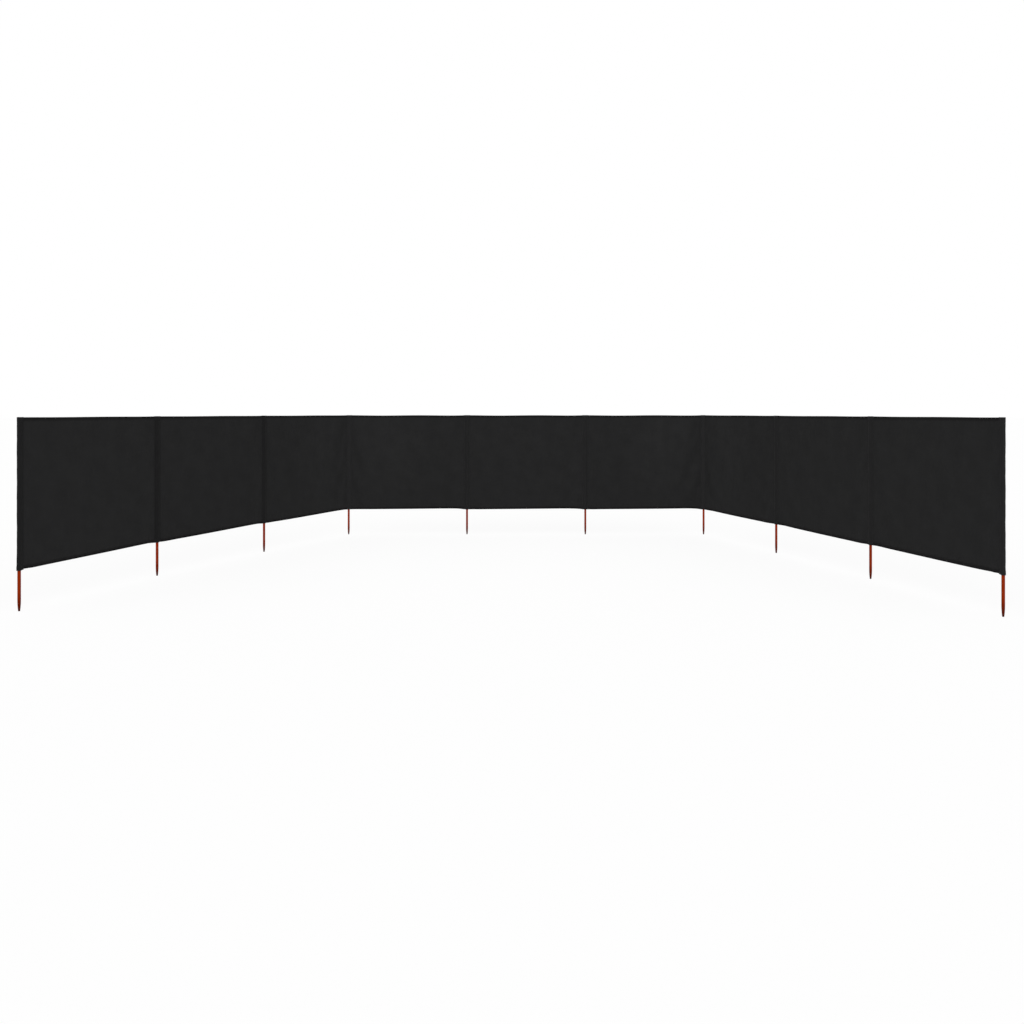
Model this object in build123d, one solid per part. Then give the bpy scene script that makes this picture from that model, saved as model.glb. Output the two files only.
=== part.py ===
"""Beach windbreak: a long cloth sewn into bays, with a wooden pole in the pocket between each two.

Millimetres, +Z up. The origin is on the flat foot of the pole that ORIGIN_POLE names, +X runs along
the middle row of bays to the right as seen from the sheltered side, and +Y points into the wind.
"""

import os
from math import acos, degrees

from build123d import *

# Plan of the pitched cloth
BAY_WIDTH = 1333.0
BAY_HEADINGS = (71.5, 66.0, 63.0, 0.0, 0.0, 0.0, -71.5, -73.5, -75.0)
ORIGIN_POLE = 5

# Poles, turned from round hardwood stock
POLE_LENGTH = 1340.0
POLE_DIAMETER = 22.0
HEAD_ROUND = 4.0
TIP_LENGTH = 80.0
TIP_FLAT_DIAMETER = 12.0

# Cloth
CLOTH_HEIGHT = 1060.0
CLOTH_THICKNESS = 1.2
TOP_SAG = 6.0
BOTTOM_RISE = 14.0
HEM_WIDTH = 30.0

# Pole pockets, two layers of cloth stitched together on both sides of the pole
POLE_CLEARANCE = 0.3
STITCH_GAP = 13.0
SEAM_WIDTH = 10.0

POLE_RADIUS = POLE_DIAMETER / 2
SLEEVE_RADIUS = POLE_RADIUS + POLE_CLEARANCE
STITCH_REACH = POLE_RADIUS + STITCH_GAP
SEAM_REACH = STITCH_REACH + SEAM_WIDTH
TWO_LAYERS = 2 * CLOTH_THICKNESS
CLOTH_TOP = POLE_LENGTH + CLOTH_THICKNESS
CLOTH_FOOT = CLOTH_TOP - CLOTH_HEIGHT
BAY_COUNT = len(BAY_HEADINGS)


def pole_places():
    """The foot of every pole on the ground, one bay after another along the headings."""
    places = [Vector(0, 0, 0)]
    for heading in BAY_HEADINGS:
        places.append(places[-1] + Vector(BAY_WIDTH, 0, 0).rotate(Axis.Z, heading))
    start = places[ORIGIN_POLE - 1]
    return [place - start for place in places]


def pole():
    """A round pole with a blunt ogive foot, flat at its end, and a rounded head."""
    foot = Line((0, 0), (TIP_FLAT_DIAMETER / 2, 0))
    ogive = TangentArc((POLE_RADIUS, TIP_LENGTH), foot @ 1, tangent=(0, -1))
    shank = Line(ogive @ 0, (POLE_RADIUS, POLE_LENGTH - HEAD_ROUND))
    head_centre = (POLE_RADIUS - HEAD_ROUND, POLE_LENGTH - HEAD_ROUND)
    rounding = CenterArc(head_centre, HEAD_ROUND, start_angle=0, arc_size=90)
    head = Line(rounding @ 1, (0, POLE_LENGTH))
    core = Line(head @ 1, foot @ 0)
    profile = make_face([foot, ogive, shank, rounding, head, core])
    return revolve(Plane.XZ * profile, axis=Axis.Z)


def teardrop(layers):
    """Outline of the sleeve in plan: round the pole, then drawn in on two tangents to the stitches.

    Each layer of cloth moves the whole outline out by its thickness, so the tip moves out in proportion.
    """
    radius = SLEEVE_RADIUS + layers * CLOTH_THICKNESS
    reach = STITCH_REACH * radius / SLEEVE_RADIUS
    half_angle = degrees(acos(radius / reach))
    round_side = CenterArc((0, 0), radius, half_angle, 360 - 2 * half_angle)
    drawn_in = Polyline(round_side @ 1, (reach, 0), round_side @ 0)
    return make_face([round_side, drawn_in])


def seam():
    """The two layers sewn flat, from the pole out to where the single cloth of the bay starts."""
    return Pos(SEAM_REACH / 2, 0) * Rectangle(SEAM_REACH, TWO_LAYERS)


def toward(directions, outline):
    """One outline turned towards each bay that meets at a pole, joined into one."""
    turned = [Rot(0, 0, direction) * outline for direction in directions]
    joined = turned[0]
    for other in turned[1:]:
        joined += other
    return joined


def pocket(directions):
    """The sleeve over one pole: hemmed at its mouth and head, open below and closed over the head."""
    hollow = toward(directions, teardrop(layers=0))
    seams = toward(directions, seam())
    cloth = toward(directions, teardrop(layers=1)) + seams
    hemmed = toward(directions, teardrop(layers=2)) + seams
    between_hems = CLOTH_HEIGHT - 2 * HEM_WIDTH
    mouth = Pos(0, 0, CLOTH_FOOT) * extrude(hemmed - hollow, HEM_WIDTH)
    sleeve = Pos(0, 0, CLOTH_FOOT + HEM_WIDTH) * extrude(cloth - hollow, between_hems)
    head = Pos(0, 0, CLOTH_TOP - HEM_WIDTH) * extrude(hemmed, HEM_WIDTH)
    head -= Pos(0, 0, CLOTH_TOP - HEM_WIDTH) * extrude(hollow, HEM_WIDTH - CLOTH_THICKNESS)
    return mouth + sleeve + head


def cloth_edge(height, bow):
    """A head or foot line of the cloth between two seams, bowed where it hangs free of the poles."""
    start = (SEAM_REACH, height)
    middle = (BAY_WIDTH / 2, height + bow)
    end = (BAY_WIDTH - SEAM_REACH, height)
    return ThreePointArc(start, middle, end)


def cloth_strip(low_edge, high_edge, thickness):
    """Upright cloth between two edge lines, half its thickness to each side of the bay's plane."""
    sides = [Line(low_edge @ end, high_edge @ end) for end in (0, 1)]
    outline = Plane.XZ * make_face([low_edge, high_edge] + sides)
    return extrude(outline, thickness / 2, both=True)


def panel():
    """The cloth of one bay along +X from a pole at the origin, with a doubled hem at head and foot."""
    foot = cloth_edge(CLOTH_FOOT, BOTTOM_RISE)
    top = cloth_edge(CLOTH_TOP, -TOP_SAG)
    foot_hem = cloth_strip(foot, Pos(0, HEM_WIDTH) * foot, TWO_LAYERS)
    top_hem = cloth_strip(Pos(0, -HEM_WIDTH) * top, top, TWO_LAYERS)
    return cloth_strip(foot, top, CLOTH_THICKNESS) + foot_hem + top_hem


def save(solid, name):
    """Write one piece to its own file."""
    export_step(solid, f"parts/{name}.step")


os.makedirs("parts", exist_ok=True)
poles = pole_places()

for number, place in enumerate(poles, start=1):
    directions = []
    if number > 1:
        directions.append(BAY_HEADINGS[number - 2] + 180)
    if number <= BAY_COUNT:
        directions.append(BAY_HEADINGS[number - 1])
    save(Pos(place) * pole(), f"pole_{number}")
    save(Pos(place) * pocket(directions), f"pocket_{number}")

for number, (place, heading) in enumerate(zip(poles, BAY_HEADINGS), start=1):
    save(Pos(place) * Rot(0, 0, heading) * panel(), f"panel_{number}")
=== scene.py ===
# %% [markdown]
# # A beach windbreak
# One long strip of black cloth stands on ten wooden poles. Each pole sits in a sewn sleeve, and the
# cloth between two sleeves is a bay. The poles and the plan of the bays are fixed by the frame that is
# loaded here, so every later step asks the frame where things are and only dresses them.

from math import acos, atan2, cos, pi, sin, sqrt, tau

import bmesh
import bpy
import numpy as np
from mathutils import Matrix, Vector


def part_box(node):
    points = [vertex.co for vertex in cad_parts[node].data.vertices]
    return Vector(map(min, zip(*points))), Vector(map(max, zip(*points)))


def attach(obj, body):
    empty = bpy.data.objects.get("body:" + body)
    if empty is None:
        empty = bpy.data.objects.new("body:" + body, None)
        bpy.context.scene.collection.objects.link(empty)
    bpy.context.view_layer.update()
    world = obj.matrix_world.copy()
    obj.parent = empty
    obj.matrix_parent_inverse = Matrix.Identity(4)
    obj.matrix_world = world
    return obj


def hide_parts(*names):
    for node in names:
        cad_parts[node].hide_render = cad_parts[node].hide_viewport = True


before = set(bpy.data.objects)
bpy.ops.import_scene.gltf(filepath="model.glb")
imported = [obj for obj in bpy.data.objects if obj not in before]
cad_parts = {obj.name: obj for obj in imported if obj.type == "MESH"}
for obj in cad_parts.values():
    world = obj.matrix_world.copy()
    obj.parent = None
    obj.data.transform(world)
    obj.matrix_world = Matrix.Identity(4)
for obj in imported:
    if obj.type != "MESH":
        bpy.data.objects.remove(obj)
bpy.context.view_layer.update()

# %% [markdown]
# ## Places
# A pole is a round bar, so the middle of its box is its axis. A bay runs from one axis to the next. Its
# sheltered side, where people sit, is to the right of someone who walks from the first pole to the last.
# The two poles where the plan turns most are the corners between the wings and the middle row.

# %% Read the places of poles, sleeves and bays
MM = 0.001
pole_count = sum(name.startswith("pole_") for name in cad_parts)
bay_count = pole_count - 1


def pole_axis(number):
    """Where a pole stands on the ground."""
    low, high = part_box(f"pole_{number}")
    return Vector(((low.x + high.x) / 2, (low.y + high.y) / 2, 0))


poles = {number: pole_axis(number) for number in range(1, pole_count + 1)}
first_low, first_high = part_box("pole_1")
POLE_RADIUS = (first_high.x - first_low.x) / 2
POLE_LENGTH = first_high.z
sleeve_low, sleeve_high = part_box("pocket_1")
CLOTH_FOOT = sleeve_low.z
CLOTH_TOP = sleeve_high.z
CLOTH_HEIGHT = CLOTH_TOP - CLOTH_FOOT
print(pole_count, "poles of radius", round(POLE_RADIUS, 4), "and", bay_count, "bays")


# %% Tell which way each bay runs and which row it belongs to
def bay_heading(number):
    """The angle in plan from pole number to the next one."""
    run = poles[number + 1] - poles[number]
    return atan2(run.y, run.x)


def bay_width(number):
    """From pole to pole."""
    return (poles[number + 1] - poles[number]).length


def sheltered_way(number):
    """The level direction that a bay's sheltered side faces."""
    heading = bay_heading(number)
    return np.array((sin(heading), -cos(heading), 0))


def turn_at(number):
    """How sharply the plan turns at a pole."""
    return abs(bay_heading(number) - bay_heading(number - 1))


corners = sorted(sorted(range(2, pole_count), key=turn_at)[-2:])


def bay_row(number):
    """The name of the row that a bay belongs to."""
    if number < corners[0]:
        return "left wing"
    return "middle row" if number < corners[1] else "right wing"


print("corners at poles", corners, "and bays", round(bay_width(1), 4), "m from pole to pole")

# %% [markdown]
# ## Camera
# The photograph was taken level, a little above the cloth's head, from the open side. A level camera
# keeps the poles upright, and a small shift moves the horizon up to where the photograph has it.

# %% Place the camera
PHOTO_PIXELS = 1024
FOCAL_PIXELS = 843.5
HORIZON_PIXEL = 412
SENSOR_WIDTH = 36
CAMERA_PLACE = Vector((0.507, -9.506, 1.378))

bpy.ops.object.camera_add(location=CAMERA_PLACE, rotation=(pi / 2, 0, 0))
camera = bpy.context.object
camera.name = "photograph_camera"
camera.data.sensor_width = SENSOR_WIDTH
camera.data.lens = SENSOR_WIDTH * FOCAL_PIXELS / PHOTO_PIXELS
camera.data.shift_y = HORIZON_PIXEL / PHOTO_PIXELS - 0.5
bpy.context.scene.camera = camera


def photo_pixel(place):
    """Where a place shows in the photograph's own pixels."""
    offset = place - CAMERA_PLACE
    across = PHOTO_PIXELS / 2 + FOCAL_PIXELS * offset.x / offset.y
    down = HORIZON_PIXEL - FOCAL_PIXELS * offset.z / offset.y
    return round(across, 1), round(down, 1)


for number, place in poles.items():
    print("pole", number, "foot at pixel", photo_pixel(place))

# %% [markdown]
# ## Room
# A pale floor, an even white surround and three wide soft lamps, one from each side and one from over
# the camera, give a plain level of light. Two spots fill the corners, where the bays shade each other.
# To the camera the surround is pure white, and the floor is white with a trace of shadow, which the
# Light Path node allows without any more light on the cloth.

# %% Helpers for shaders
WHITE = (1, 1, 1, 1)


def feed(node, inputs):
    """Give a node its inputs: the output of another node is linked, and a plain value is set."""
    for name, given in inputs.items():
        if isinstance(given, bpy.types.NodeSocket):
            node.id_data.links.new(given, node.inputs[name])
        else:
            node.inputs[name].default_value = given
    return node


def add_node(tree, kind, **inputs):
    """A node of one kind, with some of its inputs given."""
    return feed(tree.nodes.new(kind), inputs)


def math_node(operation, first, *others):
    """A Math node in the tree of its first input, a socket. The others may be plain numbers."""
    node = first.id_data.nodes.new("ShaderNodeMath")
    node.operation = operation
    return feed(node, dict(enumerate((first, *others)))).outputs[0]


def seen_directly(tree):
    """A value of 1 for camera, mirror and glass rays, and 0 for the rays that carry light."""
    rays = tree.nodes.new("ShaderNodeLightPath").outputs
    mirror = math_node("MAXIMUM", rays["Is Camera Ray"], rays["Is Glossy Ray"])
    return math_node("MAXIMUM", mirror, rays["Is Transmission Ray"])


def mix_shaders(share, first, second):
    """A mix that turns from the first shader to the second as the share rises."""
    mix = share.id_data.nodes.new("ShaderNodeMixShader")
    return feed(mix, {0: share, 1: first.outputs[0], 2: second.outputs[0]}).outputs[0]


bpy.context.scene.view_settings.view_transform = "Standard"
print("colours shown with the", bpy.context.scene.view_settings.view_transform, "view")

# %% Light the surround
WORLD_LIGHT = 0.66


def light_world():
    """A surround that lights softly and shows as white."""
    world = bpy.data.worlds.new("white_surround")
    bpy.context.scene.world = world
    world.use_nodes = True
    tree = world.node_tree
    tree.nodes.clear()
    light = add_node(tree, "ShaderNodeBackground", Color=WHITE, Strength=WORLD_LIGHT)
    shown = add_node(tree, "ShaderNodeBackground", Color=WHITE)
    add_node(tree, "ShaderNodeOutputWorld", Surface=mix_shaders(seen_directly(tree), light, shown))
    return world


print("surround", light_world().name)

# %% Add the lamps
SIDE_LAMP = 0.55
FRONT_LAMP = 0.57
LAMP_SOFTNESS = 1.1
LAMPS = {
    "lamp_from_right": ((-0.62, 0.50, -0.60), SIDE_LAMP),
    "lamp_from_left": ((0.62, 0.50, -0.60), SIDE_LAMP),
    "lamp_over_camera": ((0, 0.90, -0.44), FRONT_LAMP),
}
SPOT_STRENGTHS = (70, 88)
SPOT_DISTANCE = 3
SPOT_HEIGHT = 1.6
SPOT_ANGLE = 0.58
SPOT_SIZE = 0.25


def add_light(kind, name, place, towards, strength):
    """A light of one kind, turned towards a direction."""
    aim = towards.to_track_quat("-Z", "Y").to_euler()
    bpy.ops.object.light_add(type=kind, location=place, rotation=aim)
    light = bpy.context.object
    light.name = name
    light.data.energy = strength
    return light


def add_corner_spot(number, strength):
    """A spot on the line that halves the corner at a pole, aimed at the middle of the cloth there."""
    one_way = (poles[number - 1] - poles[number]).normalized()
    other_way = (poles[number + 1] - poles[number]).normalized()
    target = poles[number] + Vector((0, 0, (CLOTH_FOOT + CLOTH_TOP) / 2))
    place = poles[number] + (one_way + other_way).normalized() * SPOT_DISTANCE
    place.z = SPOT_HEIGHT
    spot = add_light("SPOT", f"corner_spot_{number}", place, target - place, strength)
    spot.data.spot_size = SPOT_ANGLE
    spot.data.spot_blend = 1
    spot.data.shadow_soft_size = SPOT_SIZE
    spot.visible_camera = False


for number, strength in zip(corners, SPOT_STRENGTHS):
    add_corner_spot(number, strength)
for name, (towards, strength) in LAMPS.items():
    lamp = add_light("SUN", name, (0, 0, 0), Vector(towards), strength)
    lamp.data.angle = LAMP_SOFTNESS
print("room lit by the surround and", len(bpy.data.lights), "lamps")

# %% Lay the floor
FLOOR_SIDE = 400
FLOOR_COLOUR = (0.96, 0.96, 0.96, 1)
FLOOR_WHITE_SHARE = 0.9


def floor_finish():
    """Matt and pale, brightened for the camera so that it meets the white surround."""
    finish = bpy.data.materials.new("pale_floor")
    finish.use_nodes = True
    tree = finish.node_tree
    tree.nodes.clear()
    matt = add_node(tree, "ShaderNodeBsdfDiffuse", Color=FLOOR_COLOUR)
    glow = add_node(tree, "ShaderNodeEmission", Color=WHITE)
    share = math_node("MULTIPLY", seen_directly(tree), FLOOR_WHITE_SHARE)
    add_node(tree, "ShaderNodeOutputMaterial", Surface=mix_shaders(share, matt, glow))
    return finish


bpy.ops.mesh.primitive_plane_add(size=FLOOR_SIDE)
floor = bpy.context.object
floor.name = "floor"
floor.data.materials.append(floor_finish())
print("floor", FLOOR_SIDE, "m square")

# %% [markdown]
# ## Finishes
# The cloth is a plain weave of black polyester, the thread of the seams is the same black with a little
# more shine, and the poles are a red-brown hardwood. None of the three has one even tone. That is soft
# noise, stretched along a direction, so it is built once as a node group and placed in each material.

# %% A node group for uneven tone
TONE_DETAIL = 3
TONE_ROUGHNESS = 0.55
TONE_INPUTS = {"Place": "NodeSocketVector", "Stretch": "NodeSocketVector", "Amount": "NodeSocketFloat"}


def make_uneven_tone():
    """Noise stretched by Stretch, both as it is and as a factor about 1 that strays by Amount."""
    group = bpy.data.node_groups.new("uneven_tone", "ShaderNodeTree")
    for name, kind in TONE_INPUTS.items():
        group.interface.new_socket(name=name, in_out="INPUT", socket_type=kind)
    for name in ("Tone", "Noise"):
        group.interface.new_socket(name=name, in_out="OUTPUT", socket_type="NodeSocketFloat")
    given = group.nodes.new("NodeGroupInput").outputs
    stretched = group.nodes.new("ShaderNodeVectorMath")
    stretched.operation = "MULTIPLY"
    feed(stretched, {0: given["Place"], 1: given["Stretch"]})
    noise = add_node(group, "ShaderNodeTexNoise", Vector=stretched.outputs[0], Scale=1,
                     Detail=TONE_DETAIL, Roughness=TONE_ROUGHNESS).outputs["Fac"]
    stray = math_node("SUBTRACT", noise, 0.5)
    twice = math_node("MULTIPLY", stray, 2)
    scaled = math_node("MULTIPLY", twice, given["Amount"])
    add_node(group, "NodeGroupOutput", Tone=math_node("ADD", scaled, 1), Noise=noise)
    return group


uneven_tone = make_uneven_tone()
print("node group", uneven_tone.name, "with", len(uneven_tone.nodes), "nodes")


# %% Helpers for finishes
def add_tone(place, stretch, amount):
    """The uneven tone group with its values set."""
    node = place.id_data.nodes.new("ShaderNodeGroup")
    node.node_tree = uneven_tone
    return feed(node, {"Place": place, "Stretch": stretch, "Amount": amount}).outputs


def new_finish(name, shine):
    """A Principled material, its node tree and its shader."""
    finish = bpy.data.materials.new(name)
    finish.use_nodes = True
    shader = finish.node_tree.nodes["Principled BSDF"]
    return finish, finish.node_tree, feed(shader, {"Specular IOR Level": shine})


def scaled_colour(colour, factor):
    """A colour made lighter or darker by a factor that changes over the surface."""
    scale = factor.id_data.nodes.new("ShaderNodeVectorMath")
    scale.operation = "SCALE"
    return feed(scale, {0: colour, "Scale": factor}).outputs[0]


def add_bump(shader, height, depth, strength):
    """Let a height that changes over the surface tilt the light on it."""
    bump = add_node(height.id_data, "ShaderNodeBump", Height=height, Distance=depth, Strength=strength)
    feed(shader, {"Normal": bump.outputs["Normal"]})


print("materials so far", len(bpy.data.materials))

# %% [markdown]
# ### Cloth
# The yarns of a plain weave pass over and under each other, which a product of two sines gives at the
# pitch of the yarn. Some yarns are thicker for a hand's length, so there are faint streaks both along
# and up the cloth, and the dye is a little cloudy. Sleeves and hems, where the cloth lies double, get
# painted shade in their colour, which stands in for the light that comes through a single layer; the
# painted shade is deepest on the sleeves of the left wing and towards the pressed folds of the hems.
# Each face corner carries the share of its tone that the painted shade leaves. The pattern follows the
# cloth's own map in metres.

# %% Make the cloth finish
CLOTH_COLOUR = (0.0140, 0.0140, 0.0143)
CLOTH_ROUGHNESS = 0.9
CLOTH_SHINE = 0.12
YARN_PITCH = 0.9 * MM
WEAVE_DEPTH = 0.12 * MM
WEAVE_STRENGTH = 0.6
STREAKS_ALONG = (6, 160, 1)
STREAKS_UP = (160, 6, 1)
STREAK_AMOUNT = 0.10
DYE_CLOUDS = (7, 7, 1)
CLOUD_AMOUNT = 0.22


def yarn_wave(place):
    """A sine that rises over one yarn and falls under the next."""
    return math_node("SINE", math_node("MULTIPLY", place, pi / YARN_PITCH))


def cloth_finish():
    """Matt black plain weave."""
    finish, tree, shader = new_finish("black_cloth", CLOTH_SHINE)
    cut = tree.nodes.new("ShaderNodeUVMap")
    cut.uv_map = "cut"
    place = cut.outputs["UV"]
    along = add_tone(place, STREAKS_ALONG, STREAK_AMOUNT)
    up = add_tone(place, STREAKS_UP, STREAK_AMOUNT)
    clouds = add_tone(place, DYE_CLOUDS, CLOUD_AMOUNT)
    streaks = math_node("MULTIPLY", along["Tone"], up["Tone"])
    tone = math_node("MULTIPLY", streaks, clouds["Tone"])
    # painted shade: the share of tone left where the cloth lies double, at hem folds and on left-wing
    # sleeves
    left = tree.nodes.new("ShaderNodeAttribute")
    left.attribute_name = "painted_shade_share"
    factor = math_node("MULTIPLY", tone, left.outputs["Fac"])
    feed(shader, {"Base Color": scaled_colour(CLOTH_COLOUR, factor), "Roughness": CLOTH_ROUGHNESS})
    split = add_node(tree, "ShaderNodeSeparateXYZ", Vector=place).outputs
    weave = math_node("MULTIPLY", yarn_wave(split["X"]), yarn_wave(split["Y"]))
    thick_yarns = math_node("ADD", along["Noise"], up["Noise"])
    add_bump(shader, math_node("ADD", weave, thick_yarns), WEAVE_DEPTH, WEAVE_STRENGTH)
    return finish


black_cloth = cloth_finish()
print("finish", black_cloth.name, "with a yarn every", YARN_PITCH, "m")

# %% [markdown]
# ### Thread
# Sewing thread is twisted, so its tone changes every millimetre or so along it.

# %% Make the thread finish
THREAD_COLOUR = (0.017, 0.017, 0.0175)
THREAD_ROUGHNESS = 0.55
THREAD_SHINE = 0.3
THREAD_TWIST = (900, 900, 900)
TWIST_AMOUNT = 0.3


def thread_finish():
    """Black sewing thread."""
    finish, tree, shader = new_finish("black_thread", THREAD_SHINE)
    place = tree.nodes.new("ShaderNodeTexCoord").outputs["Object"]
    twist = add_tone(place, THREAD_TWIST, TWIST_AMOUNT)
    colour = scaled_colour(THREAD_COLOUR, twist["Tone"])
    feed(shader, {"Base Color": colour, "Roughness": THREAD_ROUGHNESS})
    return finish


black_thread = thread_finish()
print("finish", black_thread.name)

# %% [markdown]
# ### Wood
# Grain shows at three scales on a pole that is turned from a straight plank: growth rings as long bands
# a few millimetres wide, fibres as fine streaks, and pores as short dark dashes. All run along the pole,
# so each is noise that is stretched in height. The wood is darker towards its point.

# %% Make the wood finish
WOOD_LIGHT = (0.33, 0.0290, 0.0018, 1)
WOOD_DARK = (0.148, 0.0112, 0.0007, 1)
WOOD_SHINE = 0.04
SMOOTH_ROUGHNESS = 0.48
FIBRE_ROUGHNESS = 0.25
RING_PITCH = 5 * MM
RING_WANDER = 14 * MM
RING_STRETCH = (24, 24, 2.2)
RING_SHARE = 0.22
FIBRE_STRETCH = (900, 900, 14)
PORE_STRETCH = (2600, 2600, 90)
PORE_EDGES = (0.36, 0.44)
PORE_SHARE = 0.55
DARK_POINT_TOP = 130 * MM
DARK_POINT_SHARE = 0.18
GRAIN_DEPTH = 0.15 * MM
GRAIN_STRENGTH = 0.5


def ranged(value, low, high, start):
    """A value that runs from start to 1 while the given one runs from low to high."""
    node = value.id_data.nodes.new("ShaderNodeMapRange")
    return feed(node, {"Value": value, "From Min": low, "From Max": high, "To Min": start}).outputs[0]


def growth_rings(place, across):
    """Bands a ring's pitch apart that wander as they run up the pole."""
    wander = add_tone(place, RING_STRETCH, 1)
    aside = math_node("MULTIPLY", wander["Noise"], RING_WANDER)
    turns = math_node("MULTIPLY", math_node("ADD", across, aside), tau / RING_PITCH)
    return math_node("MULTIPLY", math_node("SINE", turns), RING_SHARE)


def wood_finish():
    """Oiled red-brown hardwood."""
    finish, tree, shader = new_finish("red_hardwood", WOOD_SHINE)
    place = tree.nodes.new("ShaderNodeTexCoord").outputs["Object"]
    split = add_node(tree, "ShaderNodeSeparateXYZ", Vector=place).outputs
    rings = growth_rings(place, split["X"])
    fibres = add_tone(place, FIBRE_STRETCH, 1)["Noise"]
    grain = tree.nodes.new("ShaderNodeMix")
    grain.data_type = "RGBA"
    feed(grain, {"A": WOOD_DARK, "B": WOOD_LIGHT, "Factor": math_node("ADD", rings, fibres)})
    pore_noise = add_tone(place, PORE_STRETCH, 1)["Noise"]
    pores = ranged(pore_noise, *PORE_EDGES, PORE_SHARE)
    # darker towards the point
    darker_point = ranged(split["Z"], 0, DARK_POINT_TOP, DARK_POINT_SHARE)
    shade = math_node("MULTIPLY", pores, darker_point)
    colour = scaled_colour(grain.outputs["Result"], shade)
    dull = math_node("MULTIPLY", fibres, FIBRE_ROUGHNESS)
    feed(shader, {"Base Color": colour, "Roughness": math_node("ADD", dull, SMOOTH_ROUGHNESS)})
    add_bump(shader, math_node("ADD", fibres, pores), GRAIN_DEPTH, GRAIN_STRENGTH)
    return finish


red_hardwood = wood_finish()
print("finish", red_hardwood.name, "with", len(red_hardwood.node_tree.nodes), "nodes")

# %% [markdown]
# ## Bays
# Each bay starts as a flat grid, cut a little hollow along its head and foot as cloth under tension is.
# The grid has one line along each edge at the width of its hem or seam, and the rest are spread evenly.


# %% Helpers for meshes
def make_active(piece):
    """The one selected and active piece."""
    bpy.ops.object.select_all(action="DESELECT")
    piece.select_set(True)
    bpy.context.view_layer.objects.active = piece


def apply_modifier(piece, name):
    """Turn a modifier into plain mesh."""
    make_active(piece)
    bpy.ops.object.modifier_apply(modifier=name)


def read_values(items, name, kind=float, width=1):
    """One value, or a row of a few, of every item of a mesh as an array."""
    values = np.zeros(len(items) * width, kind)
    items.foreach_get(name, values)
    return values if width == 1 else values.reshape(-1, width)


def mesh_points(piece):
    """The places of a mesh's vertices as an array."""
    return read_values(piece.data.vertices, "co", width=3)


def set_mesh_points(piece, points):
    """Move a mesh's vertices to the given places."""
    piece.data.vertices.foreach_set("co", np.asarray(points, float).ravel())
    piece.data.update()


def dress(piece, finish):
    """One finish on the whole piece."""
    piece.data.materials.clear()
    piece.data.materials.append(finish)


def add_grid(name, columns, rows):
    """A unit grid, with the column and row of each of its vertices."""
    bpy.ops.mesh.primitive_grid_add(x_subdivisions=columns, y_subdivisions=rows, size=1)
    grid = bpy.context.object
    grid.name = name
    points = mesh_points(grid)
    column = np.rint((points[:, 0] + 0.5) * columns).astype(int)
    row = np.rint((points[:, 1] + 0.5) * rows).astype(int)
    return grid, column, row


print("meshes so far", len(bpy.data.meshes))


# %% Helpers for the map of the flat cloth
def corner_vertices(piece):
    """The vertex at each face corner."""
    return read_values(piece.data.loops, "vertex_index", int)


def map_cloth(piece, across, up):
    """Give each vertex its place on the flat cloth, in metres, as the piece's map."""
    layer = piece.data.uv_layers[0]
    layer.name = "cut"
    layer.data.foreach_set("uv", np.column_stack([across, up])[corner_vertices(piece)].ravel())


def corner_places(piece):
    """Where each face corner lies on the flat cloth."""
    return read_values(piece.data.uv_layers["cut"].data, "uv", width=2)


def vertex_places(piece):
    """Where each vertex lies on the flat cloth, as two arrays."""
    places = np.zeros((len(piece.data.vertices), 2))
    places[corner_vertices(piece)] = corner_places(piece)
    return places[:, 0], places[:, 1]


def mark_painted_shade(piece, shares):
    """Note on each face corner the share of the cloth's tone that the painted shade leaves there."""
    mark = piece.data.attributes.new("painted_shade_share", "FLOAT", "CORNER")
    mark.data.foreach_set("value", np.asarray(shares, float))


print("the cloth is", round(CLOTH_HEIGHT, 4), "m high between its folds")

# %% Shape the edges of a bay and its slack
SEAM_REACH = 34 * MM
STITCH_REACH = 24 * MM
SEAM_TUCK = 8 * MM
TOP_SAG = {"left wing": 1.2 * MM, "middle row": 3.4 * MM, "right wing": 1.2 * MM}
TOP_WAVE_SHARE = 0.65
TOP_LOW_SHARE = 0.27
FOOT_RISE = {"left wing": 3 * MM, "middle row": 7 * MM, "right wing": 0 * MM}
FOOT_TILT = {"left wing": 6 * MM, "middle row": 6 * MM, "right wing": -3 * MM}
END_RISE = 6 * MM
BELLY = 8 * MM
BELLY_STRAY_SHARE = 0.3
BELLY_STEP = 2.1
RIPPLE = 1.5 * MM
RIPPLES_ALONG = 2.3
RIPPLES_UP = 1.7
RIPPLE_STEP = 1.3
HEAD_WAVE = 3 * MM
HEAD_WAVES = 1.4
HEAD_WAVE_STEP = 2.4
DRAWN_FOLD = 6 * MM
DRAWN_WIDTH_SHARE = 0.11
DRAWN_PLACE_SHARES = (0.4, 0.55)
DRAWN_SLOPE = 0.85
DRAWN_FADE_SHARES = (0.25, 0.3)


def bay_cut(number):
    """The width that a bay is cut to, with what is tucked into its two seams."""
    return bay_width(number) - 2 * (SEAM_REACH - SEAM_TUCK)


def drawn_fold(share, rise):
    """A soft fold that is drawn from the head of the farther pole down to the middle of the bay."""
    along, up = DRAWN_PLACE_SHARES
    start, length = DRAWN_FADE_SHARES
    line = up + DRAWN_SLOPE * (share - along)
    near = np.exp(-((rise - line) / DRAWN_WIDTH_SHARE) ** 2)
    return DRAWN_FOLD * near * np.clip((share - start) / length, 0, 1)


def stand_off(number, share, rise):
    """How far the slack cloth starts from its plane, so that it knows which way to fall."""
    bow = 4 * share * (1 - share)
    belly = BELLY * np.sin(pi * rise) * (1 + BELLY_STRAY_SHARE * sin(BELLY_STEP * number))
    turns = RIPPLES_ALONG * share + RIPPLES_UP * rise
    ripple = RIPPLE * np.sin(tau * turns + RIPPLE_STEP * number)
    wave = HEAD_WAVE * rise * np.sin(tau * HEAD_WAVES * share + HEAD_WAVE_STEP * number)
    return bow * (belly + ripple + wave + drawn_fold(share, rise))


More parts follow.
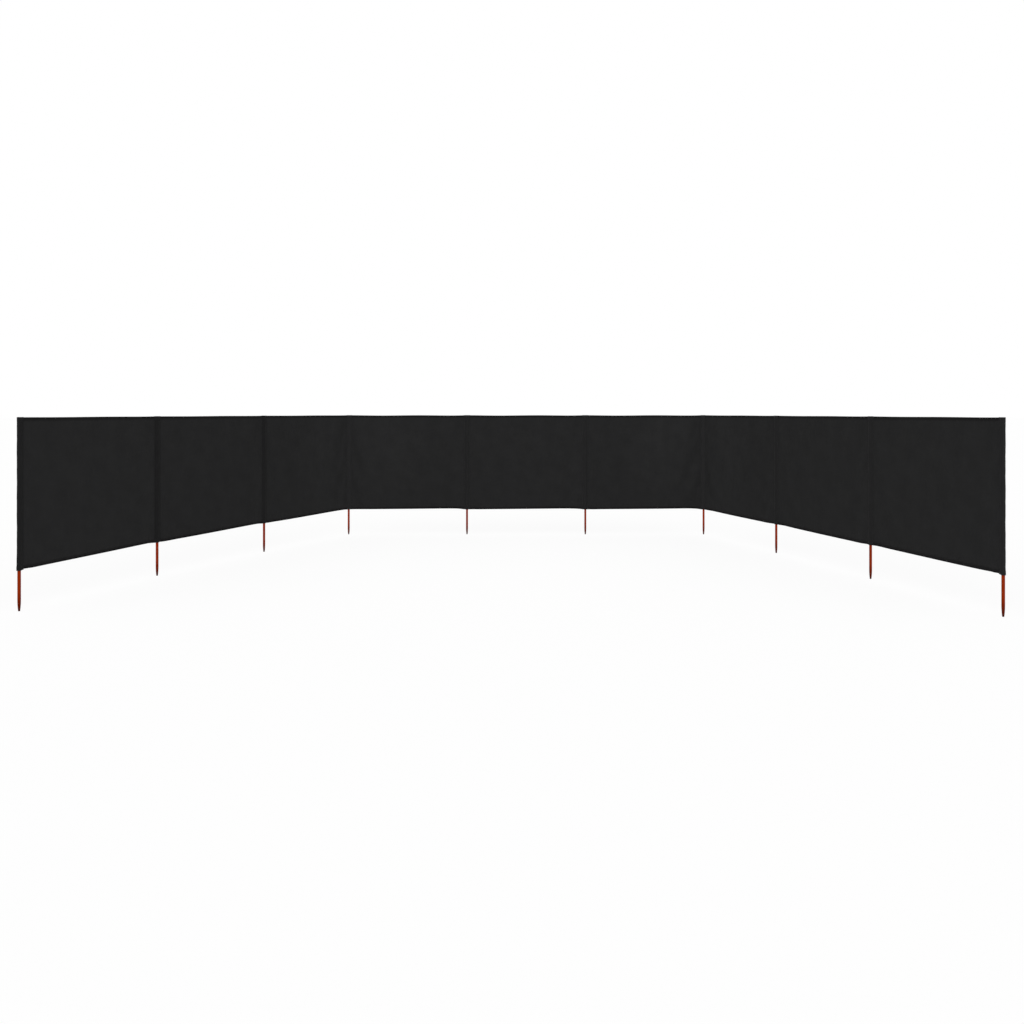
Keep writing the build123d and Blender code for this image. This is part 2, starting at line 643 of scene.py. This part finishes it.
def head_drop(number, share):
    """How far the head line sags, deepest a little after the first pole and just before the next."""
    wave = 0.5 + 0.5 * np.cos(tau * (share - TOP_LOW_SHARE) / TOP_WAVE_SHARE)
    return TOP_SAG[bay_row(number)] * wave


def foot_line(number, share):
    """How far the foot line stands above the mouths of the sleeves."""
    row = bay_row(number)
    return FOOT_RISE[row] + FOOT_TILT[row] * (2 * share - 1)


def end_lift(number, share):
    """How far the foot rises towards the end of the cloth, where the sleeve is a little longer."""
    towards_end = {1: 1 - share, bay_count: share}
    return END_RISE * towards_end.get(number, 0)


print("a bay is cut", round(bay_cut(1), 4), "m wide")

# %% Cut the bays
HELD_STRIP = 8.2 * MM
HEM_WIDTH = 30 * MM
EDGE_SQUARENESS = 8
BAY_COLUMNS = 64
BAY_ROWS = 40


def stepped(index, last, edge, total):
    """Grid lines: one an edge's width from each end, and the rest spread evenly between."""
    inner = edge + (index - 1) * (total - 2 * edge) / (last - 2)
    place = np.where(index == 0, 0.0, inner)
    return np.where(index == last, total, place)


def add_group(piece, name, chosen):
    """A vertex group of the chosen vertices."""
    group = piece.vertex_groups.new(name=name)
    group.add(np.flatnonzero(chosen).tolist(), 1, "REPLACE")


def group_edges(bay, column, row):
    """The groups of a bay's held edges, its hems and the folds of its hems."""
    at_side = (column <= 1) | (column >= BAY_COLUMNS - 1)
    between = (column >= 1) & (column <= BAY_COLUMNS - 1)
    add_group(bay, "held", at_side | (row >= BAY_ROWS - 1))
    for end, rows_in in (("foot", row), ("head", BAY_ROWS - row)):
        add_group(bay, f"{end} hem", between & (rows_in <= 1))
        add_group(bay, f"{end} edge", between & (rows_in == 0))


def cut_bay(number):
    """A flat bay in its place, with its map and its groups."""
    bay, column, row = add_grid(f"bay_{number}", BAY_COLUMNS, BAY_ROWS)
    width = bay_cut(number)
    along = stepped(column, BAY_COLUMNS, HELD_STRIP, width)
    up = stepped(row, BAY_ROWS, HEM_WIDTH, CLOTH_HEIGHT)
    map_cloth(bay, along, up)
    share = along / width
    rise = up / CLOTH_HEIGHT
    edge_bow = 1 - abs(2 * share - 1) ** EDGE_SQUARENESS
    foot = edge_bow * foot_line(number, share) + end_lift(number, share)
    height = up + foot * (1 - rise) - edge_bow * head_drop(number, share) * rise
    heading = bay_heading(number)
    run = np.array((cos(heading), sin(heading), 0))
    reach = SEAM_REACH - SEAM_TUCK + along
    points = np.outer(reach, run) + np.outer(stand_off(number, share, rise), sheltered_way(number))
    points += np.array(poles[number])
    points[:, 2] = CLOTH_FOOT + height
    set_mesh_points(bay, points)
    group_edges(bay, column, row)
    return bay


bays = {number: cut_bay(number) for number in range(1, bay_count + 1)}
print("cut", len(bays), "bays", round(bay_cut(1), 4), "by", round(CLOTH_HEIGHT, 4))

# %% [markdown]
# ### Hang
# Folds could be sculpted, but a cloth simulation gives the ones that the cloth's own weight makes. The
# seams hold each bay at its sides. The head hem is drawn tight from pole to pole, so it is held as well,
# and the foot hangs free. A trace of extra length lets the cloth sag into folds.

# %% Hang the bays
HANG_FRAMES = 30
SLACK_SHARE = 0.0012
LIGHT_CANVAS = {
    "quality": 6,
    "mass": 0.12,
    "tension_stiffness": 40,
    "compression_stiffness": 40,
    "shear_stiffness": 12,
    "bending_stiffness": 1.5,
    "vertex_group_mass": "held",
    "shrink_min": -SLACK_SHARE,
}


def add_cloth(piece):
    """The cloth modifier with the weight and stiffness of light canvas."""
    cloth = piece.modifiers.new("hang", "CLOTH")
    for name, value in LIGHT_CANVAS.items():
        setattr(cloth.settings, name, value)
    cloth.collision_settings.use_collision = False
    cloth.point_cache.frame_end = HANG_FRAMES


def hang(pieces):
    """Let every bay hang from its held edges, then keep the shape."""
    for piece in pieces:
        add_cloth(piece)
    scene = bpy.context.scene
    scene.frame_start = 1
    scene.frame_end = HANG_FRAMES
    for step in range(1, HANG_FRAMES + 1):
        scene.frame_set(step)
    for piece in pieces:
        apply_modifier(piece, "hang")
    scene.frame_set(1)


hang(list(bays.values()))
print("bay 5 hangs down to", round(float(mesh_points(bays[5])[:, 2].min()), 4))

# %% [markdown]
# ### Hems
# The cloth is turned over to the windward side along head and foot and sewn down, so from behind a hem
# shows as a band with an edge. The thread draws the cloth into short puckers, which are ripples that die
# away from the stitches. Each band is a copy of the cloth's own faces, moved back by one layer and
# bridged to the cloth along the fold. Then the whole sheet gets its thickness.

# %% Smooth and pucker the cloth
HEM_STITCH = 27 * MM
PUCKER = 1 * MM
PUCKER_PITCH = 48 * MM
PUCKER_REACH = 24 * MM
PUCKER_WANDER = 0.7
WANDER_ALONG = 9
WANDER_UP = 8


def hem_lines(bay):
    """Where the stitches of the foot and head hems run, read before the cloth is smoothed."""
    points = mesh_points(bay).reshape(BAY_ROWS + 1, BAY_COLUMNS + 1, 3)
    share = HEM_STITCH / HEM_WIDTH
    foot = points[0] * (1 - share) + points[1] * share
    head = points[-1] * (1 - share) + points[-2] * share
    return foot[1:-1], head[1:-1]


def smooth_bay(bay):
    """One subdivision, with straight edges kept and the map left in metres."""
    smooth = bay.modifiers.new("smooth", "SUBSURF")
    smooth.levels = 1
    smooth.render_levels = 1
    smooth.boundary_smooth = "PRESERVE_CORNERS"
    smooth.uv_smooth = "NONE"
    apply_modifier(bay, "smooth")


def pucker(number):
    """Draw the cloth into short ripples along its hems and side seams, where the thread pulls it in."""
    along, up = vertex_places(bays[number])
    from_hem = np.minimum(abs(up - HEM_STITCH), abs(CLOTH_HEIGHT - HEM_STITCH - up))
    from_seam = np.minimum(along, bay_cut(number) - along)
    hem_phase = along / PUCKER_PITCH + PUCKER_WANDER * np.sin(WANDER_ALONG * along + number)
    seam_phase = up / PUCKER_PITCH + PUCKER_WANDER * np.sin(WANDER_UP * up + 2 * number)
    ripple = np.exp(-from_hem / PUCKER_REACH) * np.sin(tau * hem_phase)
    ripple += np.exp(-from_seam / PUCKER_REACH) * np.sin(tau * seam_phase)
    free = np.clip(from_seam / PUCKER_REACH, 0, 1)
    moved = np.outer(PUCKER * free * ripple, sheltered_way(number))
    set_mesh_points(bays[number], mesh_points(bays[number]) + moved)


hem_rows = {}
for number, bay in bays.items():
    hem_rows[number] = hem_lines(bay)
    smooth_bay(bay)
    pucker(number)
print("smoothed", len(bays), "bays of", len(bays[1].data.polygons), "faces")

# %% Fold the hems
CLOTH_THICKNESS = 0.8 * MM
LAYER_GAP = 0.05 * MM
WHOLE_WEIGHT = 0.9


def select_parts(bay, kind, group_name):
    """Select the faces, or the open edges, whose corners all belong to a vertex group."""
    group = bay.vertex_groups[group_name].index
    bpy.ops.mesh.select_mode(type=kind)
    bpy.ops.mesh.select_all(action="DESELECT")
    shape = bmesh.from_edit_mesh(bay.data)
    weights = shape.verts.layers.deform.active
    parts = shape.faces if kind == "FACE" else shape.edges
    for part in parts:
        inside = all(vertex[weights].get(group, 0) > WHOLE_WEIGHT for vertex in part.verts)
        part.select_set(inside and (kind == "FACE" or part.is_boundary))
    bmesh.update_edit_mesh(bay.data)


def fold_hem(number, end):
    """Turn the band at one end of a bay over to the windward side."""
    bay = bays[number]
    behind = -sheltered_way(number) * (CLOTH_THICKNESS + LAYER_GAP)
    make_active(bay)
    bpy.ops.object.mode_set(mode="EDIT")
    select_parts(bay, "FACE", f"{end} hem")
    bpy.ops.mesh.duplicate()
    bpy.ops.transform.translate(value=behind)
    bpy.ops.mesh.flip_normals()
    select_parts(bay, "EDGE", f"{end} edge")
    bpy.ops.mesh.bridge_edge_loops()
    bpy.ops.object.mode_set(mode="OBJECT")


for number in bays:
    fold_hem(number, "foot")
    fold_hem(number, "head")
print("hems folded, bays have", len(bays[1].data.polygons), "faces")

# %% Give the bays their thickness and finish
# Painted shade on the hems: the share of tone left at the stitches and at the pressed fold, darkest at
# the fold.
HEM_PAINTED_SHADE = 0.8
FOLD_PAINTED_SHADE = 0.25


def thicken(piece, offset):
    """Give a sheet the thickness of the cloth."""
    wall = piece.modifiers.new("thickness", "SOLIDIFY")
    wall.thickness = CLOTH_THICKNESS
    wall.offset = offset
    wall.use_even_offset = True
    apply_modifier(piece, "thickness")
    bpy.ops.object.shade_smooth_by_angle()


def hem_painted_shade(bay):
    """The tone that painted shade leaves at each face corner: least at a fold, more at its stitches, all
    between hems.
    """
    first = read_values(bay.data.polygons, "loop_start", int)
    total = read_values(bay.data.polygons, "loop_total", int)
    heights = corner_places(bay)[:, 1]
    from_fold = np.minimum(heights, CLOTH_HEIGHT - heights)
    face_from_fold = np.repeat(np.add.reduceat(from_fold, first) / total, total)
    in_hem = FOLD_PAINTED_SHADE + (HEM_PAINTED_SHADE - FOLD_PAINTED_SHADE) * from_fold / HEM_WIDTH
    return np.where(face_from_fold < HEM_WIDTH, in_hem, 1)


for bay in bays.values():
    thicken(bay, 0)
    bay.vertex_groups.clear()
    # painted shade on the hems, darkest at the folds
    mark_painted_shade(bay, hem_painted_shade(bay))
    dress(bay, black_cloth)
    print(bay.name, len(bay.data.polygons), "faces")

# %% [markdown]
# ## Sleeves
# A sleeve is a strip folded round the pole and sewn to the bays on both sides. In plan it goes straight
# from the stitches until it touches the pole, then round it, as a taut strip does. Its mouth is turned
# up outside as a hem, and a cap is sewn over its head to stop the pole.

# %% Lay out the sleeves in plan
SLEEVE_CLEARANCE = 1.6 * MM
LAYER_LIFT = CLOTH_THICKNESS / 2 + LAYER_GAP
SLEEVE_POINTS = 42
SEAM_SHARE = 0.1
STRAIGHT_SHARE = 0.2


def on_line(start, end, count, whole=False):
    """Points from start to end, without the last one unless the whole line is asked for."""
    shares = np.linspace(0, 1, count, endpoint=whole)[:, None]
    return start * (1 - shares) + end * shares


def seam_points(angle, side):
    """The ends of one sewn layer in plan, on one side of a seam that leaves at an angle."""
    outward = np.array((cos(angle), sin(angle)))
    beside = np.array((-sin(angle), cos(angle))) * side * LAYER_LIFT
    return outward * SEAM_REACH + beside, outward * STITCH_REACH + beside


def taut_side(leave, arrive, count):
    """One side of a sleeve in plan, from the seam at angle leave round to the seam at angle arrive."""
    radius = POLE_RADIUS + SLEEVE_CLEARANCE
    turn = (arrive - leave) % tau or tau
    first_edge, first_stitch = seam_points(leave, 1)
    last_edge, last_stitch = seam_points(arrive, -1)
    touch = atan2(LAYER_LIFT, STITCH_REACH) + acos(radius / sqrt(STITCH_REACH ** 2 + LAYER_LIFT ** 2))
    sewn = round(count * SEAM_SHARE)
    straight = round(count * STRAIGHT_SHARE)
    if turn > 2 * touch:
        angles = np.linspace(leave + touch, leave + turn - touch, count - 2 * (sewn + straight))
        arc = radius * np.column_stack([np.cos(angles), np.sin(angles)])
        leaving = on_line(first_stitch, arc[0], straight)
        coming = on_line(last_stitch, arc[-1], straight)[::-1]
        middle = np.concatenate([leaving, arc, coming])
    else:
        middle = on_line(first_stitch, last_stitch, count - 2 * sewn, whole=True)
    first_layer = on_line(first_edge, first_stitch, sewn)
    last_layer = on_line(last_edge, last_stitch, sewn)[::-1]
    return np.concatenate([first_layer, middle, last_layer])


def seam_angles(number):
    """The directions in plan of the bays that meet at a pole."""
    before = [bay_heading(number - 1) + pi] if number > 1 else []
    after = [bay_heading(number)] if number <= bay_count else []
    return before + after


def plan_side(leave, arrive, count):
    """One side with its outward directions, and how free each point is to stand off the pole."""
    side = taut_side(leave, arrive, count)
    run = np.gradient(side, axis=0)
    out = np.column_stack([run[:, 1], -run[:, 0]]) / np.linalg.norm(run, axis=1)[:, None]
    share = np.linspace(0, 1, count)
    free = np.clip((share - SEAM_SHARE) / (1 - 2 * SEAM_SHARE), 0, 1)
    return side, out, np.sin(pi * free)


def sleeve_sides(number):
    """The sides of a sleeve: two between its seams, or one that goes round the end of the cloth."""
    angles = seam_angles(number)
    count = SLEEVE_POINTS // len(angles)
    return [plan_side(leave, arrive, count) for leave, arrive in zip(angles, angles[::-1])]


sides = {number: sleeve_sides(number) for number in poles}
print("laid out", sum(len(found) for found in sides.values()), "sleeve sides")

# %% [markdown]
# ### Fold
# The wall of a sleeve is a profile that is swept along those sides: from the edge of the hem down to the
# fold at the mouth, round the fold and up to the head. The cap has a profile of its own, which closes on
# the line midway between the two layers. The strip was sewn a little wide, so it stands off the pole in
# slow and quick waves, and its mouth flares.

# %% Draw the profiles of wall and cap
FOLD_GAP = 0.2 * MM
TURNED_UP = 2 * CLOTH_THICKNESS + FOLD_GAP
TURNED_ROWS = 5
FOLD_START = 3 * MM
FOLD_ROWS = 5
WALL_ROWS = 64
CAP_OUT = CLOTH_THICKNESS + LAYER_GAP
CAP_DEPTH = 30 * MM
CAP_RIDGE = 1 * MM
CAP_OVERLAP = 20 * MM
CAP_ROWS = 5
DOME_HEIGHT = 7 * MM
DOME_ROWS = 8


def wall_profile():
    """Rows of the wall: how far out, how high and how open each one lies."""
    half = TURNED_UP / 2
    turned = [(TURNED_UP, height) for height in np.linspace(HEM_WIDTH, FOLD_START, TURNED_ROWS)]
    turns = np.linspace(0, pi, FOLD_ROWS)
    fold = [(half + half * cos(turn), half - half * sin(turn)) for turn in turns]
    head = CLOTH_HEIGHT - CAP_DEPTH + CAP_OVERLAP
    risen = [(0, height) for height in np.linspace(FOLD_START, head, WALL_ROWS)]
    return np.array([(out, CLOTH_FOOT + height, 1) for out, height in turned + fold + risen])


def cap_profile():
    """Rows of the cap, up its sides and over its dome to the closed ridge."""
    dome_foot = CLOTH_TOP + CAP_RIDGE - DOME_HEIGHT
    side_heights = np.linspace(CLOTH_TOP - CAP_DEPTH, dome_foot, CAP_ROWS)
    upright = [(CAP_OUT, height, 1) for height in side_heights]
    quarter = np.linspace(0, pi / 2, DOME_ROWS + 1)[1:]
    dome = [(CAP_OUT, dome_foot + DOME_HEIGHT * sqrt(sin(turn)), sqrt(abs(cos(turn))))
            for turn in quarter]
    dome[-1] = (CAP_OUT, CLOTH_TOP + CAP_RIDGE, 0)
    return np.array(upright + dome)


def running_length(steps):
    """The length along a line of points, from its start to each of them."""
    return np.concatenate([[0], np.cumsum(np.linalg.norm(np.diff(steps, axis=0), axis=1))])


def sleeve_cut(number):
    """The width of the strip, and its length with the hem and the cap."""
    width = sum(running_length(side[0])[-1] for side in sides[number])
    length = sum(running_length(profile[:, :2])[-1] for profile in (wall_profile(), cap_profile()))
    return float(width), float(length)


for number in poles:
    print("sleeve", number, "is cut", [round(size, 4) for size in sleeve_cut(number)])

# %% Fold the sleeves
# Painted shade on the sleeves: the share of tone left in each row, much darker on the left wing.
SLEEVE_PAINTED_SHADE = {"left wing": 0.68, "middle row": 0.96, "right wing": 0.96}
LOOSE_CLOTH = 1.6 * MM
LONG_WAVE = 370 * MM
LONG_WAVE_STEP = 1.9
SHORT_WAVE = 153 * MM
SHORT_WAVE_STEP = 0.7
QUICK_WAVE = 61 * MM
QUICK_WAVE_STEP = 0.4
SLOW_SHARE = 0.25
QUICK_SHARE = 0.15
MOUTH_FLARE = 2 * MM
FLARE_HEIGHT = 60 * MM


def slack(number, along, height):
    """How far a loose place stands off the pole, as a share of the most."""
    long = np.sin(tau * height / LONG_WAVE + LONG_WAVE_STEP * number)
    short = np.sin(tau * height / SHORT_WAVE + SHORT_WAVE_STEP * along)
    quick = np.sin(tau * height / QUICK_WAVE + QUICK_WAVE_STEP * along + number)
    return np.clip(0.5 + SLOW_SHARE * (long + short) + QUICK_SHARE * quick, 0, 1)


def swept_rows(number, side, profile):
    """The places in plan of one side, a row of points for each step of the profile."""
    loop, out, loose = side
    along = np.arange(len(loop))[None, :]
    height = profile[:, 1][:, None]
    flare = MOUTH_FLARE * np.exp(-(height - CLOTH_FOOT) / FLARE_HEIGHT)
    stands_off = (LOOSE_CLOTH * slack(number, along, height) + flare) * loose[None, :]
    reach = profile[:, 0][:, None] + stands_off
    return loop[None] + out[None] * reach[:, :, None]


def sheet_from_rows(name, plan, profile):
    """A sheet through rows of points in plan, at the heights of the profile, with its map."""
    rows, columns = plan.shape[:2]
    sheet, column, row = add_grid(name, columns - 1, rows - 1)
    map_cloth(sheet, running_length(plan[0])[column], running_length(profile[:, :2])[row])
    set_mesh_points(sheet, np.column_stack([plan[row, column], profile[row, 1]]))
    return sheet


def sweep(name, number, profile):
    """The sheets of one sleeve for a profile, closed towards each other as far as it says."""
    rows = [swept_rows(number, side, profile) for side in sides[number]]
    whole = np.concatenate(rows, axis=1)
    middle = (whole + whole[:, ::-1]) / 2
    closed = middle + (whole - middle) * profile[:, 2][:, None, None]
    parts = np.split(closed + np.array(poles[number].xy), len(rows), axis=1)
    return [sheet_from_rows(name, part, profile) for part in parts]


def join(parts):
    """One piece out of several, under the name of the first."""
    make_active(parts[0])
    for part in parts:
        part.select_set(True)
    if len(parts) > 1:
        bpy.ops.object.join()
    return parts[0]


def fold_sleeve(number):
    """The wall and the cap of one sleeve, as one piece of cloth with its thickness."""
    walls = sweep(f"sleeve_{number}", number, wall_profile())
    cap = join(sweep(f"cap_{number}", number, cap_profile()))
    bpy.ops.object.mode_set(mode="EDIT")
    bpy.ops.mesh.select_all(action="SELECT")
    bpy.ops.mesh.remove_doubles(threshold=LAYER_GAP / 2)
    bpy.ops.object.mode_set(mode="OBJECT")
    sleeve = join([*walls, cap])
    thicken(sleeve, 1)
    # the painted shade of the sleeve's row
    share = SLEEVE_PAINTED_SHADE[bay_row(min(number, bay_count))]
    mark_painted_shade(sleeve, np.full(len(sleeve.data.loops), share))
    dress(sleeve, black_cloth)
    return sleeve


sleeves = {number: fold_sleeve(number) for number in poles}
print("folded", len(sleeves), "sleeves of", len(sleeves[2].data.polygons), "faces")

# %% [markdown]
# ## Seams
# A stitch is a short stretch of thread that dives into the cloth at both ends. One is modelled from a
# small ball, and copies are laid along each seam and pressed onto the nearest cloth: two rows down both
# faces of every sleeve's seams, one row along each hem, and one round the outside of each mouth and cap.

# %% Model one stitch
STITCH_LENGTH = 4.4 * MM
THREAD_RADIUS = 0.42 * MM
STITCH_SIDES = 4
STITCH_RINGS = 3

bpy.ops.mesh.primitive_uv_sphere_add(segments=STITCH_SIDES, ring_count=STITCH_RINGS, radius=1)
bpy.ops.object.mode_set(mode="EDIT")
bpy.ops.mesh.select_all(action="SELECT")
bpy.ops.transform.rotate(value=pi / 2, orient_axis="Y", center_override=(0, 0, 0))
bpy.ops.transform.resize(value=(STITCH_LENGTH / 2, THREAD_RADIUS, THREAD_RADIUS))
bpy.ops.object.mode_set(mode="OBJECT")
stitch_points = mesh_points(bpy.context.object)
stitch_faces = [list(face.vertices) for face in bpy.context.object.data.polygons]
bpy.ops.object.delete()
print("a stitch has", len(stitch_points), "points and", len(stitch_faces), "faces")

# %% Lay the rows of stitches
STITCH_PITCH = 5.6 * MM
THREAD_SINK = 0.12 * MM
SEEK = 4 * MM
SEAM_ROWS = (26.5 * MM, 31.5 * MM)
ROW_START = 5 * MM


def evenly(line):
    """Points a stitch's pitch apart along a line of points."""
    run = running_length(line)
    marks = np.arange(ROW_START, run[-1] - ROW_START, STITCH_PITCH)
    return np.column_stack([np.interp(marks, run, line[:, axis]) for axis in range(3)])


def seat(piece, points):
    """The nearest places on a piece, and the way the cloth faces there."""
    found = [piece.closest_point_on_mesh(Vector(point)) for point in points]
    return np.array([hit[1] for hit in found]), np.array([hit[2] for hit in found])


def stitch_row(piece, line, side=0):
    """Places, directions and outward ways of one row of stitches, pressed on from one side."""
    places, out = seat(piece, evenly(line) + side * SEEK)
    along = np.gradient(places, axis=0)
    along -= out * np.sum(along * out, axis=1)[:, None]
    along /= np.linalg.norm(along, axis=1)[:, None]
    return places - out * THREAD_SINK, along, out


def hem_stitches(number):
    """Stitches of both hems of a bay, on its two sides."""
    way = sheltered_way(number)
    return [stitch_row(bays[number], line, side) for line in hem_rows[number] for side in (way, -way)]


def seam_stitches(number, angle):
    """Two rows down each side of one seam of a sleeve."""
    outward = np.array((cos(angle), sin(angle), 0))
    beside = np.array((-sin(angle), cos(angle), 0))
    rows = []
    for reach in SEAM_ROWS:
        place = np.array(poles[number]) + outward * reach
        line = np.array([place + (0, 0, CLOTH_FOOT), place + (0, 0, CLOTH_TOP)])
        rows += [stitch_row(sleeves[number], line, side) for side in (beside, -beside)]
    return rows


def ring_stitches(number, height):
    """A row round the outside of a sleeve at one height."""
    rows = []
    for loop, out, _ in sides[number]:
        plan = loop + out * SEEK + np.array(poles[number].xy)
        line = np.column_stack([plan, np.full(len(plan), height)])
        rows.append(stitch_row(sleeves[number], line))
    return rows


def sleeve_stitches(number):
    """All the stitches of one sleeve."""
    rows = [row for angle in seam_angles(number) for row in seam_stitches(number, angle)]
    for height in (CLOTH_FOOT + HEM_STITCH, CLOTH_TOP - HEM_STITCH):
        rows += ring_stitches(number, height)
    return rows


bpy.context.view_layer.update()
hem_thread = {number: hem_stitches(number) for number in bays}
sleeve_thread = {number: sleeve_stitches(number) for number in poles}
print("laid", sum(len(rows) for rows in [*hem_thread.values(), *sleeve_thread.values()]), "rows")


# %% Sew the seams
def sew(name, rows):
    """One mesh with a stitch at every place of the rows."""
    places, along, out = (np.concatenate(part)[:, None] for part in zip(*rows))
    across = np.cross(out, along)
    length, breadth, height = (stitch_points[None, :, axis:axis + 1] for axis in range(3))
    points = places + length * along + breadth * across + height * out
    copies = np.arange(len(places)) * len(stitch_points)
    faces = [[corner + int(copy) for corner in face] for copy in copies for face in stitch_faces]
    mesh = bpy.data.meshes.new(name)
    mesh.from_pydata(points.reshape(-1, 3), [], faces)
    seam = bpy.data.objects.new(name, mesh)
    bpy.context.collection.objects.link(seam)
    make_active(seam)
    bpy.ops.object.shade_smooth()
    dress(seam, black_thread)
    return seam


hem_seams = {number: sew(f"hem_stitches_{number}", rows) for number, rows in hem_thread.items()}
sleeve_seams = {number: sew(f"sleeve_stitches_{number}", rows) for number, rows in sleeve_thread.items()}
sewn_faces = sum(len(seam.data.polygons) for seam in [*hem_seams.values(), *sleeve_seams.values()])
print("sewn with", sewn_faces // len(stitch_faces), "stitches")

# %% [markdown]
# ## Poles
# A pole is turned from a round bar: flat at the very end with its edge taken off, drawn out in a long
# blunt point, then straight, with a rounded head. It is modelled as by hand, from a filled circle that
# is extruded up and resized ring by ring, once, and copied to each place.

# %% Turn the poles
POLE_SIDES = 32
POINT_LENGTH = 80 * MM
POINT_FLAT = 6 * MM
POINT_RINGS = 8
SHANK_RINGS = 12
HEAD_ROUND = 4 * MM
FOOT_ROUND = 2 * MM
ROUND_RINGS = 5


def point_radius(height):
    """The radius of the blunt point, an arc that runs smoothly into the straight shank."""
    swell = POLE_RADIUS - POINT_FLAT
    bend = (POINT_LENGTH ** 2 + swell ** 2) / (2 * swell)
    return POLE_RADIUS - bend + sqrt(bend ** 2 - (POINT_LENGTH - height) ** 2)


def pole_rings():
    """Height and radius of each ring above the flat foot."""
    shoulder = POLE_LENGTH - HEAD_ROUND
    wide = point_radius(FOOT_ROUND)
    turns = np.linspace(0, pi / 2, ROUND_RINGS + 1)[1:]
    point_heights = np.linspace(FOOT_ROUND, POINT_LENGTH, POINT_RINGS + 1)[1:]
    shank_heights = np.linspace(POINT_LENGTH, shoulder, SHANK_RINGS + 1)[1:]
    foot = [(FOOT_ROUND * (1 - cos(turn)), wide - FOOT_ROUND * (1 - sin(turn))) for turn in turns]
    point = [(height, point_radius(height)) for height in point_heights]
    shank = [(height, POLE_RADIUS) for height in shank_heights]
    head = [(shoulder + HEAD_ROUND * sin(turn), POLE_RADIUS - HEAD_ROUND * (1 - cos(turn)))
            for turn in turns]
    return foot + point + shank + head


def turn_pole():
    """One pole with its foot at the origin."""
    radius = point_radius(FOOT_ROUND) - FOOT_ROUND
    bpy.ops.mesh.primitive_circle_add(vertices=POLE_SIDES, radius=radius, fill_type="NGON")
    pole = bpy.context.object
    bpy.ops.object.mode_set(mode="EDIT")
    bpy.ops.mesh.select_all(action="SELECT")
    height = 0
    for next_height, next_radius in pole_rings():
        rise = {"value": (0, 0, next_height - height)}
        bpy.ops.mesh.extrude_region_move(TRANSFORM_OT_translate=rise)
        grow = next_radius / radius
        bpy.ops.transform.resize(value=(grow, grow, 1), center_override=(0, 0, next_height))
        height = next_height
        radius = next_radius
    bpy.ops.mesh.select_all(action="SELECT")
    bpy.ops.mesh.normals_make_consistent(inside=False)
    bpy.ops.object.mode_set(mode="OBJECT")
    bpy.ops.object.shade_smooth_by_angle()
    dress(pole, red_hardwood)
    return pole


def stand_pole(pattern, number):
    """A copy of the turned pole at its place."""
    pole = pattern.copy()
    pole.data = pattern.data.copy()
    pole.name = f"turned_pole_{number}"
    bpy.context.collection.objects.link(pole)
    set_mesh_points(pole, mesh_points(pole) + np.array(poles[number]))
    return pole


pattern = turn_pole()
turned_poles = {number: stand_pole(pattern, number) for number in poles}
make_active(pattern)
bpy.ops.object.delete()
print("turned", len(turned_poles), "poles of", len(turned_poles[1].data.polygons), "faces")

# %% [markdown]
# ## Pieces in place
# Every new piece stands for a piece of the frame, which is hidden, or goes with one that does, and all
# hang under the root.

for number, bay in bays.items():
    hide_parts(f"panel_{number}")
for number, sleeve in sleeves.items():
    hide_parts(f"pocket_{number}")
    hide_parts(f"pole_{number}")
    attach(turned_poles[number], "root")
for piece in [*bays.values(), *sleeves.values(), *hem_seams.values(), *sleeve_seams.values()]:
    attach(piece, "root")
